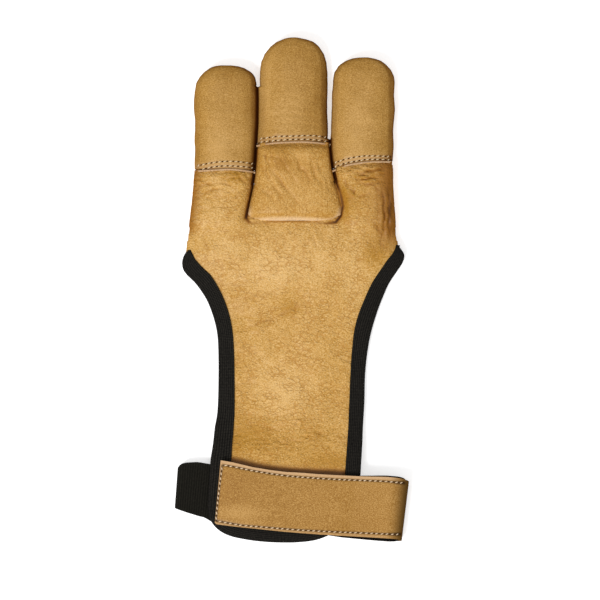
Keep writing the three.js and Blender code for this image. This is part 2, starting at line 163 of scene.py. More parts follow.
def nearLine(x, y, line):  # distance to a line of points, and how far along it that is, 0 to 1
    line = np.array(line, float)
    steps = np.linalg.norm(np.diff(line, axis=0), axis=1)
    before = np.concatenate([[0], np.cumsum(steps)])
    away = np.full(x.shape, 1e9)
    share = np.zeros(x.shape)
    for i, step in enumerate(steps):
        direction = (line[i + 1] - line[i]) / step
        along = (x - line[i, 0]) * direction[0] + (y - line[i, 1]) * direction[1]
        held = np.clip(along, 0, step)
        gap = np.hypot(x - line[i, 0] - held * direction[0], y - line[i, 1] - held * direction[1])
        closer = gap < away
        away = np.where(closer, gap, away)
        share = np.where(closer, (before[i] + held) / before[-1], share)
    return away, share


# folds: each row has its points, width and depth; they wander a little and fade at their ends
def creases(x, y, rows):
    total = np.zeros(x.shape)
    wander, ridge, ridgeAt = 0.35, 0.45, 1.9  # mm, share of the depth, widths away
    broken = np.clip(0.85 + 0.2 * ripples(x, y, 9, 5), 0.4, 1.2)
    x, y = x + wander * ripples(x, y, 7, 8), y + wander * ripples(x, y, 7, 9)
    for line, width, depth in rows:
        away, share = nearLine(x, y, line)
        fade = np.sin(np.pi * np.clip(share, 0.02, 0.98)) ** 0.6 * broken
        raised = ridge * bell(away - ridgeAt * width, width)
        total += depth * fade * (raised - bell(away, width))
    return total


def ripples(x, y, size, seed, stretch=1.0, turn=0.0):  # an even random field about 1 high
    draw = np.random.default_rng(seed)
    across = x * math.cos(turn) + y * math.sin(turn)
    along = (-x * math.sin(turn) + y * math.cos(turn)) / stretch
    total = np.zeros(x.shape)
    waves = 22
    for _ in range(waves):
        angle, phase = draw.uniform(0, 2 * math.pi, 2)
        wave = 2 * math.pi / (size * draw.uniform(0.7, 1.5))
        total += np.cos(wave * (across * math.cos(angle) + along * math.sin(angle)) + phase)
    return total / math.sqrt(waves / 2)


# dark carries painted shade; pale carries pale raw edges and thread lines, and a painted highlight
# on the inset's bead; tone carries tone patches, some of them painted light and shade
def paint(piece, dark=0.0, pale=0.0, tone=0.0):  # values at each point that the leather reads
    for name, values in (("dark", dark), ("pale", pale), ("tone", tone + 0.5)):
        layer = piece.data.attributes.new(name, "FLOAT", "POINT")
        full = np.broadcast_to(np.clip(values, 0, 1), (len(piece.data.vertices),))
        layer.data.foreach_set("value", full.astype(np.float32))


def blobs(x, y, rows):  # each row: centre, radii, amount
    return sum(amount * np.exp(-((x - cx) / rx) ** 2 - ((y - cy) / ry) ** 2)
               for (cx, cy), (rx, ry), amount in rows)


# shader nodes written as expressions
class Wire:
    def __init__(self, recipe, socket):
        self.recipe = recipe
        self.socket = socket

    def __add__(self, other):
        return self.recipe.maths("ADD", self, other)

    __radd__ = __add__

    def __sub__(self, other):
        return self.recipe.maths("SUBTRACT", self, other)

    def __rsub__(self, other):
        return self.recipe.maths("SUBTRACT", other, self)

    def __mul__(self, other):
        return self.recipe.maths("MULTIPLY", self, other)

    __rmul__ = __mul__


class Recipe:
    def __init__(self, name, roughness, **fixed):
        self.material = bpy.data.materials.new(name)
        self.material.use_nodes = True
        self.tree = self.material.node_tree
        self.skin = self.tree.nodes["Principled BSDF"]
        self.skin.inputs["Roughness"].default_value = roughness
        for socket, value in fixed.items():
            self.skin.inputs[socket.replace("_", " ")].default_value = value
        self.place = self.add("TexCoord", output="Object")

    def feed(self, socket, value):
        if isinstance(value, Wire):
            self.tree.links.new(value.socket, socket)
        else:
            socket.default_value = value

    def add(self, kind, settings=None, inputs=None, output=0):
        node = self.tree.nodes.new("ShaderNode" + kind)
        for name, value in (settings or {}).items():
            setattr(node, name, value)
        for name, value in (inputs or {}).items():
            self.feed(node.inputs[name], value)
        return Wire(self, node.outputs[output])

    def maths(self, operation, *values):
        return self.add("Math", {"operation": operation}, dict(enumerate(values)))

    def scaled(self, sizes, vector=None):  # coordinates, stretched along each axis
        return self.add("Mapping", {"vector_type": "POINT"},
                        {"Vector": vector or self.place, "Scale": sizes})

    def noise(self, scale, detail=3.0, vector=None):
        return self.add("TexNoise", {}, {
            "Vector": vector or self.place, "Scale": scale, "Detail": detail, "Roughness": 0.55,
        })

    def cells(self, scale, vector):  # 0 at the cells' borders
        return self.add("TexVoronoi", {"feature": "DISTANCE_TO_EDGE"},
                        {"Vector": vector, "Scale": scale})

    def bent(self, size, reach):  # coordinates pushed about by a soft noise
        swirl = self.add("TexNoise", {}, {"Vector": self.place, "Scale": 1000 / size}, output=1)
        return self.add("VectorMath", {"operation": "MULTIPLY_ADD"},
                        {0: swirl, 1: (reach * mm,) * 3, 2: self.place})

    def band(self, value, low, high):  # 0 below low, 1 above high
        return self.add("MapRange", {"interpolation_type": "SMOOTHSTEP"},
                        {"Value": value, "From Min": low, "From Max": high})

    def mixed(self, factor, first, second):
        return self.add("Mix", {"data_type": "RGBA"}, {0: factor, 6: first, 7: second}, output=2)

    def raised(self, height, distance, below=None):
        inputs = {"Height": height, "Distance": distance * mm, "Strength": 1.0}
        if below:
            inputs["Normal"] = below
        return self.add("Bump", {}, inputs)

    def finish(self, colour, normal=None):
        self.feed(self.skin.inputs["Base Color"], colour)
        if normal:
            self.feed(self.skin.inputs["Normal"], normal)
        return self.material


def rgb(red, green, blue):  # screen colour 0..255 as the shader's own
    def straight(value):
        value /= 255
        return value / 12.92 if value <= 0.04045 else ((value + 0.055) / 1.055) ** 2.4
    return (straight(red), straight(green), straight(blue), 1)


def leather(name, look):
    recipe = Recipe(name, 0.8, Specular_IOR_Level=0.0, Coat_Roughness=look["roughness"])
    dark, pale, tone = (recipe.add("Attribute", {"attribute_name": layer}, output="Fac")
                        for layer in ("dark", "pale", "tone"))
    surface = recipe.add("NewGeometry", output="Normal")
    facing = recipe.add("SeparateXYZ", {}, {0: surface}, output=2)  # 1 where it faces up
    pebbles = recipe.band(recipe.cells(1000 / look["pebble"], recipe.scaled((0.8, 1.0, 1.0))),
                          0.0, 0.55)
    speckle = recipe.noise(1000 / look["speckle"], 1.0, recipe.scaled(look["grain"]))
    clouds = recipe.noise(1000 / look["cloud"], 2.0)
    lumps = recipe.noise(1000 / look["lump"], 3.0, recipe.scaled(look["stretch"]))
    network = recipe.cells(1000 / look["line"],
                           recipe.scaled(look["stretch"], recipe.bent(5.0, 5.0)))
    lines = ((1 - recipe.band(network, 0.0, 0.13))
             * recipe.band(recipe.noise(1000 / look["patch"], 2.0), 0.38, 0.6))
    level = ((clouds - 0.5) * look["cloudShade"] + (speckle - 0.5) * look["speckleShade"]
             + (lumps - 0.5) * look["lumpShade"] + tone)
    shade = recipe.mixed(recipe.band(level, 0.1, 0.5), look["deep"], look["middle"])
    shade = recipe.mixed(recipe.band(level, 0.5, 0.9), shade, look["light"])
    hollow = lines * look["lineShade"] + (1 - pebbles) * look["pebbleShade"]
    shade = recipe.mixed(hollow, shade, look["hollow"])
    # painted shade: surfaces turning away from facing up are darkened towards the crease colour
    shade = recipe.mixed((1 - recipe.band(facing, 0.0, 0.9)) * look["paintedSideShade"], shade,
                         look["creaseShade"])
    shade = recipe.mixed(pale, shade, look["pale"])
    # painted shade: the dark values painted on each piece (crease hollows, crevices, stitch
    # grooves, the strap's fold, the shadow above the strap) darken towards the crease colour, then
    # the shadow colour
    shade = recipe.mixed(recipe.band(dark, 0.0, 0.6), shade, look["creaseShade"])
    shade = recipe.mixed(recipe.band(dark, 0.4, 1.0), shade, look["shadow"])
    grain = recipe.raised(lumps, look["lumpDepth"])
    grain = recipe.raised(lines, -look["lineDepth"], below=grain)
    grain = recipe.raised(pebbles, look["pebbleDepth"], below=grain)
    grain = recipe.raised(speckle, look["speckleDepth"], below=grain)
    recipe.feed(recipe.skin.inputs["Coat Weight"], recipe.band(facing, 0.7, 0.97) * look["gloss"])
    return recipe.finish(shade, grain)


# colours, then the sizes of the grain's features in mm, their depths in mm and their shades
hideLook = {
    "light": rgb(230, 189, 124), "middle": rgb(206, 161, 88), "deep": rgb(178, 130, 50),
    "creaseShade": rgb(150, 98, 36), "hollow": rgb(176, 120, 40), "shadow": rgb(62, 30, 10),
    # pale: on this leather only the inset's rolled bead takes it, as a painted highlight
    "pale": rgb(240, 206, 160), "roughness": 0.42, "gloss": 0.3,
    "pebble": 1.25, "pebbleDepth": 0.28, "pebbleShade": 0.16,
    "speckle": 0.55, "grain": (0.8, 1.3, 1.0), "speckleDepth": 0.13, "speckleShade": 1.9,
    "line": 2.1, "stretch": (0.5, 1.1, 1.0), "patch": 9, "lineDepth": 0.09, "lineShade": 0.55,
    "lump": 5.0, "lumpDepth": 0.5, "lumpShade": 0.18,
    "cloud": 26, "cloudShade": 0.28, "paintedSideShade": 0.5,
}
hide = leather("tan deerskin", hideLook)
insetHide = leather("inset deerskin", {
    **hideLook,
    "light": rgb(220, 177, 108), "middle": rgb(197, 150, 76), "deep": rgb(168, 120, 50),
    "stretch": (1.1, 0.6, 1.0), "pebbleDepth": 0.2, "grain": (1.1, 1.0, 1.0),
})
stallLook = {
    **hideLook,
    "light": rgb(207, 163, 96), "middle": rgb(182, 138, 69), "deep": rgb(154, 110, 45),
    "creaseShade": rgb(112, 70, 24), "hollow": rgb(150, 102, 40), "pale": rgb(212, 172, 128),
    "roughness": 0.4, "pebble": 0.9, "pebbleDepth": 0.12, "pebbleShade": 0.1,
    "speckle": 0.48, "speckleDepth": 0.1, "speckleShade": 1.8,
    "lineDepth": 0.05, "lineShade": 0.12, "stretch": (0.3, 1.1, 1.0),
    "lumpDepth": 0.3, "lumpShade": 0.3, "cloudShade": 0.5, "paintedSideShade": 0.55,
}
stallHide = leather("stall leather", stallLook)
strapHide = leather("strap leather", {
    **stallLook,
    "light": rgb(195, 151, 86), "middle": rgb(166, 121, 54), "deep": rgb(142, 97, 35),
    "creaseShade": rgb(100, 72, 34), "shadow": rgb(42, 28, 12), "pale": rgb(218, 180, 138),
    "lumpDepth": 0.1, "lineDepth": 0.02, "lineShade": 0.03, "speckleShade": 2.0, "cloudShade": 0.3,
})


def cutEdge(name, colour):
    recipe = Recipe(name, 0.8)
    fibres = recipe.noise(2500, 3.0)
    shade = recipe.mixed(recipe.band(fibres, 0.35, 0.7), colour, rgb(168, 126, 82))
    return recipe.finish(shade, recipe.raised(fibres, 0.08))


rawEdge = cutEdge("raw leather edge", rgb(206, 172, 132))


def wovenTape(name, look):
    recipe = Recipe(name, look["roughness"], Specular_IOR_Level=0.02)
    cloth = recipe.add("UVMap", {"uv_map": "UVMap"})
    ribs = recipe.add("TexWave", {"bands_direction": "X"},
                      {"Vector": cloth, "Scale": look["ribs"], "Distortion": 0.6, "Detail": 1.0})
    yarns = recipe.add("TexWave", {"bands_direction": "Y"},
                       {"Vector": cloth, "Scale": look["yarns"], "Distortion": 0.4, "Detail": 1.0})
    fuzz = recipe.noise(1600, 4.0)
    weave = ribs * yarns * 0.5 + fuzz * 0.75
    shade = recipe.mixed(recipe.band(weave, 0.25, 1.0), look["dark"], look["light"])
    return recipe.finish(shade, recipe.raised(weave, look["depth"]))


tapeCloth = wovenTape("black binding tape", {
    "light": rgb(52, 49, 44), "dark": rgb(17, 16, 15), "roughness": 0.9,
    "ribs": 0.45, "yarns": 0.4, "depth": 0.14,
})
elasticCloth = wovenTape("black elastic", {
    "light": rgb(42, 40, 34), "dark": rgb(19, 18, 15), "roughness": 0.85,
    "ribs": 0.28, "yarns": 0.5, "depth": 0.16,
})
liningCloth = wovenTape("black lining", {
    "light": rgb(34, 32, 29), "dark": rgb(16, 15, 14), "roughness": 0.92,
    "ribs": 0.7, "yarns": 0.7, "depth": 0.3,
})


def thread(name, light, dark):
    recipe = Recipe(name, 0.6, Specular_IOR_Level=0.2)
    twist = recipe.noise(3500, 2.0)
    shade = recipe.mixed(recipe.band(twist, 0.35, 0.65), dark, light)
    return recipe.finish(shade, recipe.raised(twist, 0.05))


creamThread = thread("cream thread", rgb(236, 218, 184), rgb(200, 172, 124))
pinkThread = thread("pale strap thread", rgb(234, 212, 182), rgb(202, 170, 130))
# painted shade: dark marks sunk flush in the leather stand for the shade inside the needle holes
holeRecipe = Recipe("needle hole shade", 0.95, Specular_IOR_Level=0.05)
holeShade = holeRecipe.finish(
    holeRecipe.mixed(holeRecipe.noise(900), rgb(44, 24, 10), rgb(84, 52, 22))
)
print("materials made")


# leather over the hand and fingers
insetEdge = [
    (-15.6, 69), (-16.2, 60), (-17.3, 52), (-19.1, 44.1), (-20.6, 37.5), (-21.2, 34),
    (-19.8, 31.8), (-17, 31.5), (-9, 32.2), (0, 32.4), (8, 32), (16, 31.4),
    (20.5, 31.9), (23, 35), (23.9, 39.5), (22.9, 44.6), (20.6, 51), (18.4, 60),
    (17.4, 69),
]
flanks = {  # the fingers' outer sides
    "index": [(-44.9, 58.5), (-45.3, 54.3), (-45.5, 51.5), (-45.7, 48.7), (-46, 45),
              (-46.5, 40.4), (-47.2, 34.8), (-47.8, 29.5)],
    "ring": [(46.7, 61.5), (47.1, 57.1), (47.2, 48.7), (47.6, 42), (48.1, 36), (48.5, 29.2)],
}
crevices = {  # where neighbouring fingers touch
    "index": [(-15.7, 95), (-15.6, 88.7), (-15.7, 79.4), (-16.2, 70), (-16.4, 65),
              (-16.8, 58.5), (-17.2, 53.8), (-17.8, 50)],
    "ring": [(18, 70.5), (18.1, 65.5), (18.6, 60.8), (19.1, 57.1), (19.8, 54), (20.6, 51)],
}
# each stall: its cut rim, its two stitch rows, which crevices it meets and on which side
stalls = {
    "index": {
        "seed": 21, "pitch": 2.46, "middle": -30.7, "half": 14.5, "tip": (0.5, 1.3),
        "sides": {"index": 1}, "leftFlankShading": -0.15,
        "creases": [([(-43, 68), (-34, 66.5), (-24, 68)], 0.8, 0.07)],
        "rim": [(-45.3, 55.8), (-37.9, 56.1), (-28.6, 56.5), (-21.6, 55.9), (-16.9, 55.2)],
        "rows": [
            [(-44.6, 58), (-38.6, 59.1), (-33.9, 59.8), (-28.6, 60.1), (-23.5, 59.8),
             (-17.2, 59)],
            [(-44.6, 56), (-37.2, 57.3), (-32.1, 57.9), (-27, 57.9), (-19.8, 57.4),
             (-17.2, 57)],
        ],
    },
    "middle": {
        "seed": 22, "pitch": 2.6, "middle": 0.95, "half": 15.8, "tip": (0.8, 0.5),
        "sides": {"index": -1, "ring": 1}, "leftFlankShading": 0.28,
        "creases": [
            ([(-12, 89), (0, 90.5), (13, 88)], 0.8, 0.08),
            ([(-13, 85), (0, 86), (14, 84)], 0.8, 0.1),
            ([(-14, 81), (-2, 82.5), (14, 80)], 0.8, 0.12),
            ([(-13, 77.5), (2, 78.5), (14, 76)], 0.7, 0.1),
            ([(-14, 74.5), (-2, 75), (9, 74)], 0.7, 0.09),
        ],
        "rim": [(-16.4, 67.6), (-10, 68.6), (-0.7, 69.1), (6.3, 69.2), (13.3, 68.8),
                (18.1, 68.3)],
        "rows": [
            [(-15.4, 70.7), (-6.3, 71.6), (1.6, 71.8), (9.8, 72), (17, 71.4)],
            [(-15.4, 69.1), (-4.4, 70), (3.5, 70.3), (11.4, 70.1), (17, 69.5)],
        ],
    },
    "ring": {
        "seed": 23, "pitch": 2.4, "middle": 32.6, "half": 14.75, "tip": (-1.2, -0.2),
        "sides": {"ring": -1}, "leftFlankShading": 0.15,
        "creases": [([(20, 70), (31, 68.5), (43, 70)], 0.8, 0.06)],
        "rim": [(18.9, 55.8), (24.9, 58.2), (29.5, 59.1), (34.2, 59.7), (38.8, 60),
                (46.6, 60.1)],
        "rows": [
            [(19.4, 59.4), (23.8, 60.7), (28.4, 61.8), (33.5, 62.5), (38.8, 62.6), (46.2, 62.4)],
            [(19.4, 57.4), (25.3, 59.3), (30, 60.2), (35.1, 60.9), (40.5, 61), (46.2, 60.9)],
        ],
    },
}


def insideOutline(x, y, line):  # True where a point is within a closed outline
    inside = np.zeros(x.shape, bool)
    for (ax, ay), (bx, by) in zip(line, line[1:] + line[:1]):
        crosses = (ay > y) != (by > y)
        with np.errstate(divide="ignore", invalid="ignore"):
            at = ax + (y - ay) * (bx - ax) / (by - ay)
        inside ^= crosses & (x < at)
    return inside


# how a side is brought to its line, in mm
sideFit = {"reach": 4.0, "step": 0.6, "window": 0.42, "overlap": 0.2, "inwards": -1.0,
           "outwards": 4.5, "start": 0.6, "tuck": 0.15}


# brings a side out to a line, up to a rim; what lies past the line by the limit is left alone
def meet(where, line, sign, rim=None, limit=3.0):
    reach, empty = sideFit["reach"], -1e3
    line = np.array(line)[::-1]
    past = sign * (where[:, 0] - np.interp(where[:, 1], line[:, 1], line[:, 0]))
    near = (past > -reach) & (past < limit)
    heights = np.arange(line[0, 1], line[-1, 1], sideFit["step"])
    edges = []
    for height in heights:
        held = near & (np.abs(where[:, 1] - height) < sideFit["window"])
        edges.append((sign * where[held, 0]).max() if held.any() else empty)
    wanted = sign * np.interp(heights, line[:, 1], line[:, 0]) + sideFit["overlap"]
    edges = np.where(np.array(edges) == empty, wanted, edges)
    shifts = np.clip(wanted - edges, sideFit["inwards"], sideFit["outwards"])
    edgeAtPoint = np.interp(where[:, 1], heights, edges)
    inside = ramp(where[:, 1] - line[0, 1], sideFit["start"])
    inside = inside * (where[:, 1] <= line[-1, 1])
    weight = np.clip((sign * where[:, 0] - edgeAtPoint + reach) / reach, 0, 1) ** 1.5
    weight = weight * (past < limit)
    shift = np.interp(where[:, 1], heights, shifts)
    if rim:
        below = np.interp(where[:, 0], *np.array(rim).T) - where[:, 1]
        inside = inside * np.clip(below / 0.5 + 1.8, 0, 1)
        shift = shift - sideFit["tuck"] * np.clip(1 - below / 0.6, 0, 1)  # just within the stall
    where[:, 0] += sign * shift * weight * inside
    return where


def meetCrevices(where, finger, rim=None, limit=3.0):
    for name, sign in stalls[finger]["sides"].items():
        where = meet(where, crevices[name], sign, rim, limit)
    return where


def meetSides(where, finger, sign, limit=3.0):  # a finger's leather, from its crevice to its flank
    rim = stalls[finger]["rim"]
    where = meet(where, crevices[finger], sign, rim, limit=limit)
    return meet(where, flanks[finger], -sign, rim)


# how far the shade reaches up the flank left and right of each crevice
shadeReach = {"index": {1: 1.1, -1: 0.35}, "ring": {1: 0.9, -1: 0.85}}
outerFingers = {"index": 1, "ring": -1}  # and on which side of them their crevice lies


# painted shade along the crevices where neighbouring fingers touch, fading up each flank
def paintedCreviceShade(x, y, sides):
    return sum(bell(nearLine(x, y, crevices[name])[0], shadeReach[name][sign])
               for name, sign in sides.items())


panel = {
    "voxel": 0.66, "passes": 3, "foldDepth": 1.5,
    # centre, radii, amount; tone patches, among them painted shade: the shadow above the strap at
    # (18, -79.5) and (6, -76), the corner by the index crevice at (-25.5, 53) and the hollows at
    # (0.2, -7.5) and (-17, -67.5)
    "tones": [
        ((37, 50), (10, 5), -0.15), ((-30, 20), (6, 4), 0.3), ((29, 6), (5, 18), 0.2),
        ((26, 41), (8, 8), -0.35), ((-17, -67.5), (11, 7), -0.35),
        ((0.2, -7.5), (5, 4), -0.35), ((-24, -25), (4, 32), -0.08), ((-5, -46), (13, 15), 0.3),
        ((4, 11), (28, 10), 0.2), ((-34, 33), (9, 10), 0.15), ((10, -66), (12, 6), -0.15),
        ((-25.5, 53), (4, 3), -0.6), ((-33, 48), (5, 3), 0.2), ((-10, 10), (14, 12), 0.2),
        ((18, -79.5), (12, 4), -0.4), ((6, -76), (20, 5), -0.15), ((-26, -68), (4, 12), -0.2),
        ((19, 30), (3, 3), 0.3), ((24, 43), (3, 4), -0.7), ((39, 17), (6, 5), -0.4),
    ],
    # line, width, depth
    "creases": [
        ([(-39.5, 28), (-40.5, 22), (-38, 16)], 0.9, 0.3),
        ([(-44, 27.5), (-40, 29), (-36, 27)], 0.8, 0.15),
        ([(-24, -18), (-12, -14), (2, -8), (7, -6)], 1.3, 0.25),
        ([(-30, -46), (-20, -43), (-8, -45)], 1.2, 0.16),
        ([(18, -28), (28, -34), (38, -43)], 0.8, 0.18),
        ([(-24, -57), (-12, -59), (2, -58), (14, -60)], 1.2, 0.15),
        ([(-22, -63), (-10, -64.5), (0, -62.5), (10, -64)], 1, 0.16),
        ([(-16, -69), (-4, -70.5), (10, -69)], 1.1, 0.14),
        ([(2, -62), (12, -66), (22, -70)], 0.9, 0.16),
        ([(-25, -66), (-16, -61), (-8, -66)], 1, 0.14),
        ([(8, 29), (11, 23), (14, 17)], 0.9, 0.22),
        ([(12, 30), (15, 24), (17, 19)], 0.9, 0.18),
        ([(41, 50), (43, 38), (42.5, 26)], 0.9, 0.24),
        ([(44.5, 49), (46, 38), (45.6, 24)], 0.8, 0.24),
        ([(38, 33), (40.5, 27), (43, 22)], 0.8, 0.18),
        ([(41, 24), (44.5, 19)], 0.8, 0.18),
        ([(34.5, 24), (39, 18.5), (41.5, 13)], 0.8, 0.14),
        ([(24.5, 52.5), (25.8, 48), (29, 46.2), (30.5, 49)], 0.8, 0.5),
        ([(24, 57.5), (28, 55.2), (33, 54.6), (38, 55.4), (43, 57.5)], 0.8, 0.3),
        ([(25, 54.5), (29, 52.4), (34, 51.8), (40, 53)], 0.8, 0.3),
        ([(27, 51.5), (31, 49.6), (36, 49.4), (41, 51)], 0.8, 0.28),
        ([(34, 50), (38, 49), (41, 44)], 0.8, 0.25),
        ([(28, 46), (32, 44), (37, 44.5)], 0.9, 0.2),
        ([(-45, 45.5), (-40, 49), (-34, 50.2), (-28, 49), (-23, 45)], 0.8, 0.24),
        ([(-45.5, 42), (-40, 46), (-34, 47.2), (-28, 46), (-22.5, 41.5)], 0.8, 0.26),
        ([(-43, 54.4), (-36, 54.8), (-29, 54.6)], 0.7, 0.2),
        ([(-38, 52), (-31, 52.6), (-26, 51)], 0.7, 0.2),
        ([(-45.5, 38.5), (-40, 42.5), (-34, 43.8), (-27, 42), (-22.5, 38)], 0.8, 0.16),
        ([(-46, 34.5), (-40, 38.2), (-33, 39.4), (-27, 38)], 0.8, 0.12),
        ([(-25.5, 55), (-23.5, 51.5), (-20, 50)], 0.7, 0.4),
        ([(-22.5, 54.8), (-20.2, 52.8), (-18, 51.5)], 0.7, 0.36),
        ([(-28, 54.8), (-26.5, 52), (-24.5, 50)], 0.7, 0.25),
        ([(-19.5, 47), (-24, 45.5), (-28, 43)], 0.8, 0.25),
    ],
    # painted shade towards these flanks
    "sides": {"ring": (0.62, 9.5), "index": (0.5, 3.6)},  # darker towards these flanks: amount, mm
    # painted shadow just above the strap: line, amount, mm
    "strap": [(-32, -78.6), (-27.2, -79.7), (-17.9, -81.9), (-10, -83.2), (-2.6, -84.1),
              (5.3, -84.6), (20.7, -85.3), (30, -85.5)],
    "paintedStrapShadow": (0.75, 2.4),
    "ripples": [(24, 3, 0.22), (9, 4, 0.08), (4.2, 6, 0.04)],  # size, seed, height
    # fine wrinkles: size, seed, stretch, then where they are
    "wrinkles": [
        (2.6, 41, 5, [((46, 34), (6, 16), 0.3)]),
        (5.5, 42, 0.35, [((34, 54), (12, 5), 0.34), ((-34, 49), (12, 8), 0.2),
                         ((0, -68), (24, 10), 0.14), ((0, -8), (26, 30), 0.06)]),
    ],
}
backPanel = softCopy("back_panel", "back_panel_leather", panel)
where = spots(backPanel)
for finger, sign in outerFingers.items():
    where = meetSides(where, finger, sign)
x, y, z = where.T
openPart = ramp(15 - y, 8)  # free of the side seam below the fingers
loose = np.maximum(openPart, ramp(z - 5.5, 3.5))
folds = creases(x, y, panel["creases"]) * panel["foldDepth"]
nearInset, share = nearLine(x, y, insetEdge)
base = ramp(share - 0.3, 0.04) * ramp(0.66 - share, 0.04)
sunk = bell(nearInset, 2.2) * (1.3 - 0.9 * base)
soft = sum(ripples(x, y, size, seed) * height for size, seed, height in panel["ripples"])
for size, seed, stretch, places in panel["wrinkles"]:
    soft += ripples(x, y, size, seed, stretch=stretch) * blobs(x, y, places)
where[:, 2] += (folds + soft - sunk) * loose
putSpots(backPanel, where)
# painted shade towards the flanks above the waist, and a painted shadow just above the strap
overWaist = ramp(y - 9, 8)
paintedSideShade = sum(amount * np.exp(-(nearLine(x, y, flanks[finger])[0] / reach) ** 1.5) * overWaist
                for finger, (amount, reach) in panel["sides"].items())
amount, reach = panel["paintedStrapShadow"]
paintedStrapShadow = amount * bell(nearLine(x, y, panel["strap"])[0], reach)
uneven = 0.9 + 0.1 * ripples(x, y, 5, 7)
# painted shade in the crevice along the inset's seam, with a wider fall-off beside it
seamCreviceShade = bell(nearInset, 0.75 - 0.2 * base) * (0.85 - 0.4 * base) * uneven
shadeBesideSeam = bell(nearInset, 2.0) * np.where(share < 0.5, 0.35, 0.12) * (1 - base)
# painted shade in the crease hollows and the crevices between fingers
paint(backPanel, np.clip(-folds, 0, 1) * 0.7 + paintedCreviceShade(x, y, outerFingers)
      + paintedSideShade + paintedStrapShadow + seamCreviceShade + shadeBesideSeam,
      0.0, blobs(x, y, panel["tones"]))
finishPiece(backPanel, hide, "panel_leather", "back_panel")

fronts = {"voxel": 0.9, "passes": 3, "limit": 0.1}  # the hidden string side, kept plain
frontLeather = softCopy("finger_fronts", "finger_front_leather", fronts)
where = spots(frontLeather)
for finger, sign in outerFingers.items():
    where = meetSides(where, finger, sign, fronts["limit"])
where = meetCrevices(where, "middle", stalls["middle"]["rim"], fronts["limit"])
putSpots(frontLeather, where)
paint(frontLeather)
finishPiece(frontLeather, hide, "front_leather", "finger_fronts")

inset = {
    "voxel": 0.55, "passes": 3, "foldDepth": 1.9, "rise": 1.2, "roll": 0.9,  # roll: its bead
    "tones": [((0, 66), (14, 2.5), -0.15), ((8, 42), (9, 6), 0.12), ((-9, 50), (5, 9), 0.12),
              ((-4.5, 59), (4, 3), -0.5), ((5, 64), (6, 2.5), 0.25), ((13, 57), (4, 6), 0.15)],
    "creases": [
        ([(-12, 63), (-8, 55), (-1, 45), (3, 41)], 0.9, 0.3),
        ([(-6, 64), (-2, 56), (5, 47)], 0.8, 0.22),
        ([(-14, 60), (-9, 50), (-4, 43)], 0.8, 0.2),
        ([(1, 65), (4, 58), (9, 50)], 0.8, 0.2),
        ([(8, 64), (10, 57), (14, 49), (15, 44)], 0.8, 0.2),
        ([(12, 60), (15, 52), (18, 46)], 0.8, 0.18),
        ([(-15, 50), (-10, 44), (-7, 39)], 0.8, 0.18),
        ([(-13, 67), (-11.5, 63), (-12, 59)], 0.7, 0.3),
        ([(-10, 67), (-8.5, 63.5), (-9.5, 60)], 0.7, 0.25),
        ([(-14, 65), (-11, 62.5), (-5, 61)], 0.7, 0.22),
    ],
}
insetLeather = softCopy("middle_finger_inset", "middle_finger_inset_leather", inset)
where = meetCrevices(spots(insetLeather), "middle", stalls["middle"]["rim"])
x, y, z = where.T
nearEdge, share = nearLine(x, y, insetEdge)
within = np.where(insideOutline(x, y, insetEdge), nearEdge, -nearEdge)
atBase = ramp(40 - y, 6)
shown = ramp(68.5 - y, 5)  # nothing moves inside the stall
up = ramp(z - 6.4, 2) * shown
folds = creases(x, y, inset["creases"]) * inset["foldDepth"]
puff = inset["rise"] * (1 - np.exp(-np.clip(within, 0, None) / 2.6)) - 0.5 * np.exp(-within ** 2)
roll = inset["roll"] * bell(within - 1.1, 1.2) * atBase
soft = ripples(x, y, 12, 11, stretch=2.2, turn=0.5) * 0.14 + ripples(x, y, 4, 12) * 0.03
where[:, 2] += (folds + soft + puff + roll) * up
putSpots(insetLeather, where)
# painted shade in the crease hollows, the crevices and along the inset's sides, and a painted
# highlight on its rolled bead at the base
paint(insetLeather, np.clip(-folds, 0, 1) * 0.5
      + paintedCreviceShade(x, y, stalls["middle"]["sides"])
      + bell(within + 0.2, 0.6) * (1 - atBase) * 0.7,
      bell(within - 0.7, 1.2) * atBase, blobs(x, y, inset["tones"]))
finishPiece(insetLeather, insetHide, "inset_leather", "middle_finger_inset")
print("hand leather shaped")


# stalls and their stitches; one stitch is modelled once, lying along +X, from a ball one wide
def stitchModel(name, length, thickness, material):
    bpy.ops.object.select_all(action="DESELECT")
    bpy.ops.mesh.primitive_uv_sphere_add(segments=8, ring_count=6, radius=0.5)
    stitch = bpy.context.object
    stitch.name = name
    ball = spots(stitch) * mm
    turned = np.stack([ball[:, 2] * length, ball[:, 0] * thickness, ball[:, 1] * thickness], 1)
    bulge = 1 - (2 * turned[:, 0] / length) ** 2
    turned[:, 2] += bulge * thickness * 0.15
    putSpots(stitch, turned)
    stitch.data.materials.append(material)
    return stitch


